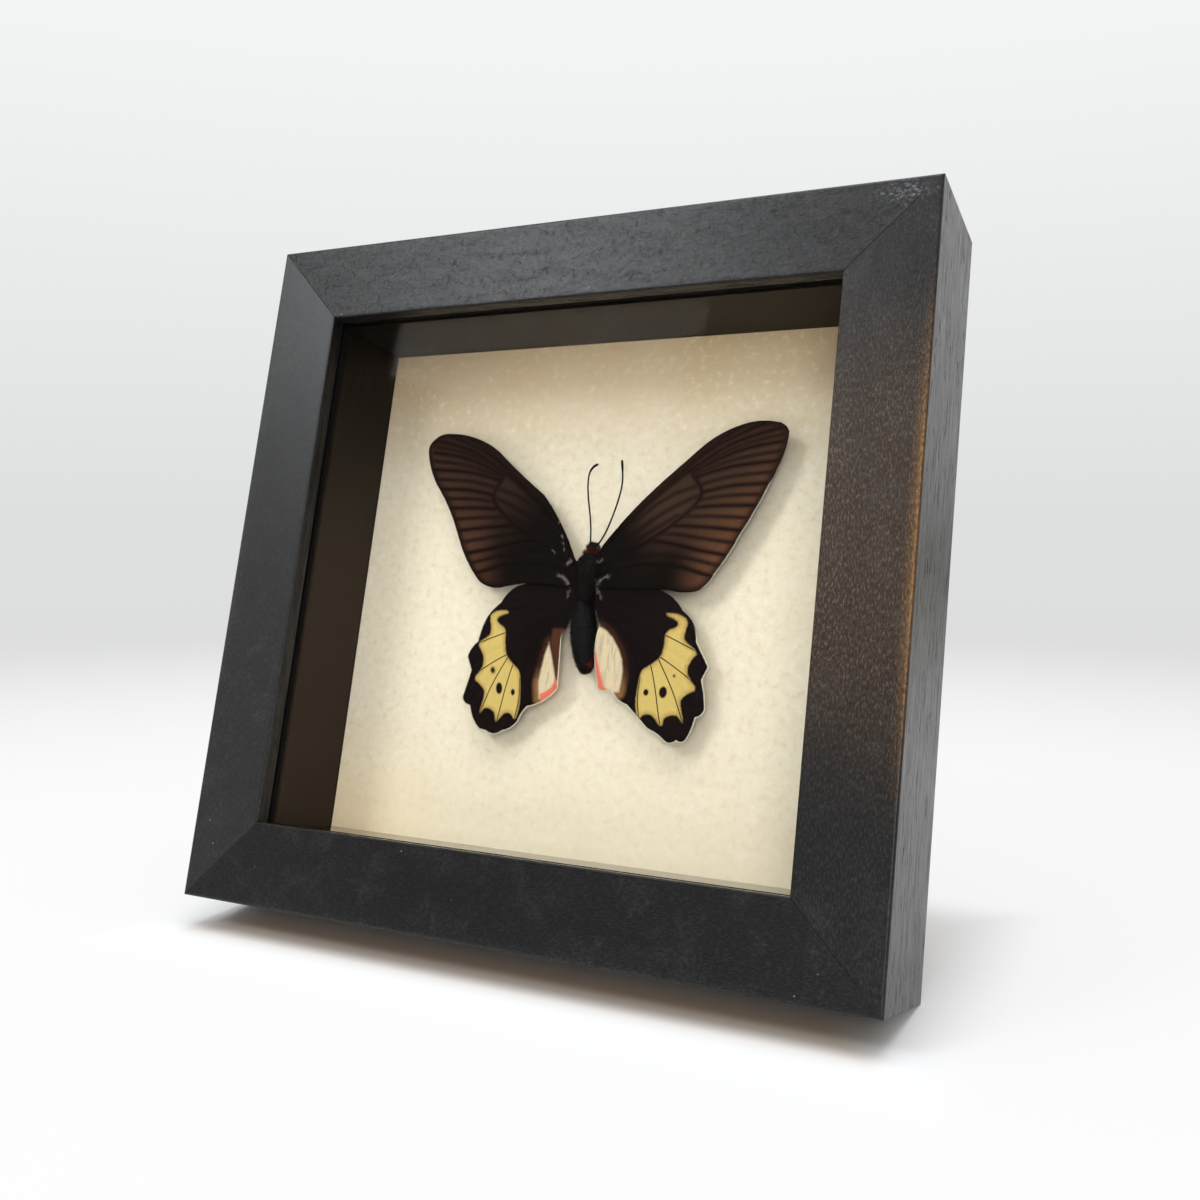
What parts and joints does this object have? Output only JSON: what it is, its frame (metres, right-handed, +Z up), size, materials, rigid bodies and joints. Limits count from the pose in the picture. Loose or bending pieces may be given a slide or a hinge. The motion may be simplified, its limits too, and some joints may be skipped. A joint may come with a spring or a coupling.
{
  "type": "butterfly display case",
  "caption": "Glazed box frame holding a spread swallowtail butterfly on parchment paper, leaning back on a fold-out easel strut, with a hanging ring behind.",
  "frame": {"origin": "on the surface the case stands on, below the middle of its footprint (leaning case and open strut together)", "axes": "+X across the case to its right as the viewer sees it, +Y to the back, where the strut is, +Z up; the viewer looks along +Y"},
  "size_m": [0.18, 0.0884, 0.1778],
  "materials": {
    "frame_wood": "black stained softwood, satin lacquer, worn arrises",
    "spacer": "dark brown, smooth",
    "glass": "clear float glass",
    "tape": "black foam tape",
    "paper": "mottled cream parchment paper, darker towards its edges",
    "board": "grey-brown mount board",
    "panel": "brown hardboard",
    "strut": "stiff board under black paper",
    "steel": "zinc plated, stamped",
    "fastener": "plated steel",
    "pad": "pale foam",
    "body_scales": "black hair and scales, dull",
    "wing_scales": "black-brown scales with pale yellow patches, dull"
  },
  "bodies": {
    "case": {"rail_top": "frame_wood", "rail_bottom": "frame_wood", "rail_left": "frame_wood", "rail_right": "frame_wood", "corner_nails": "steel", "glass_pane": "glass", "glazing_tape": "tape", "spacer_top": "spacer", "spacer_bottom": "spacer", "spacer_left": "spacer", "spacer_right": "spacer", "backing_paper": "paper", "mount_board": "board", "back_panel": "panel", "turn_button_screws": "fastener", "hinge_panel_leaf": "steel", "hinge_pin": "steel", "panel_rivets": "fastener", "hanger_strap": "steel", "hanger_rivet": "fastener", "specimen_pad": "pad", "thorax": "body_scales", "abdomen": "body_scales", "head": "body_scales", "eyes": "body_scales", "forewing_left": "wing_scales", "forewing_right": "wing_scales", "hindwing_left": "wing_scales", "hindwing_right": "wing_scales", "antenna_left": "body_scales", "antenna_right": "body_scales"},
    "strut": {"strut_board": "strut", "hinge_strut_leaf": "steel", "strut_rivets": "fastener"},
    "hanger_ring": {"hanger_ring": "steel"},
    "turn_button_left_upper": {"turn_button_left_upper": "steel"},
    "turn_button_left_lower": {"turn_button_left_lower": "steel"},
    "turn_button_right_upper": {"turn_button_right_upper": "steel"},
    "turn_button_right_lower": {"turn_button_right_lower": "steel"}
  },
  "joints": [
    {"name": "strut_fold", "type": "hinge", "parent": "case", "child": "strut", "pos_m": [0, 0.01872, 0.10791], "axis": [1, 0, 0], "range_deg": [-27, 0]},
    {"name": "ring_swing", "type": "hinge", "parent": "case", "child": "hanger_ring", "pos_m": [0, 0.02772, 0.14483], "axis": [1, 0, 0], "range_deg": [-14, 165]},
    {"name": "turn_button_left_upper_swivel", "type": "hinge", "parent": "case", "child": "turn_button_left_upper", "pos_m": [-0.083, 0.02194, 0.12824], "axis": [0, 0.969, -0.247], "range_deg": [-90, 90]},
    {"name": "turn_button_left_lower_swivel", "type": "hinge", "parent": "case", "child": "turn_button_left_lower", "pos_m": [-0.083, -0.00029, 0.04103], "axis": [0, 0.969, -0.247], "range_deg": [-90, 90]},
    {"name": "turn_button_right_upper_swivel", "type": "hinge", "parent": "case", "child": "turn_button_right_upper", "pos_m": [0.083, 0.02194, 0.12824], "axis": [0, 0.969, -0.247], "range_deg": [-90, 90]},
    {"name": "turn_button_right_lower_swivel", "type": "hinge", "parent": "case", "child": "turn_button_right_lower", "pos_m": [0.083, -0.00029, 0.04103], "axis": [0, 0.969, -0.247], "range_deg": [-90, 90]}
  ]
}
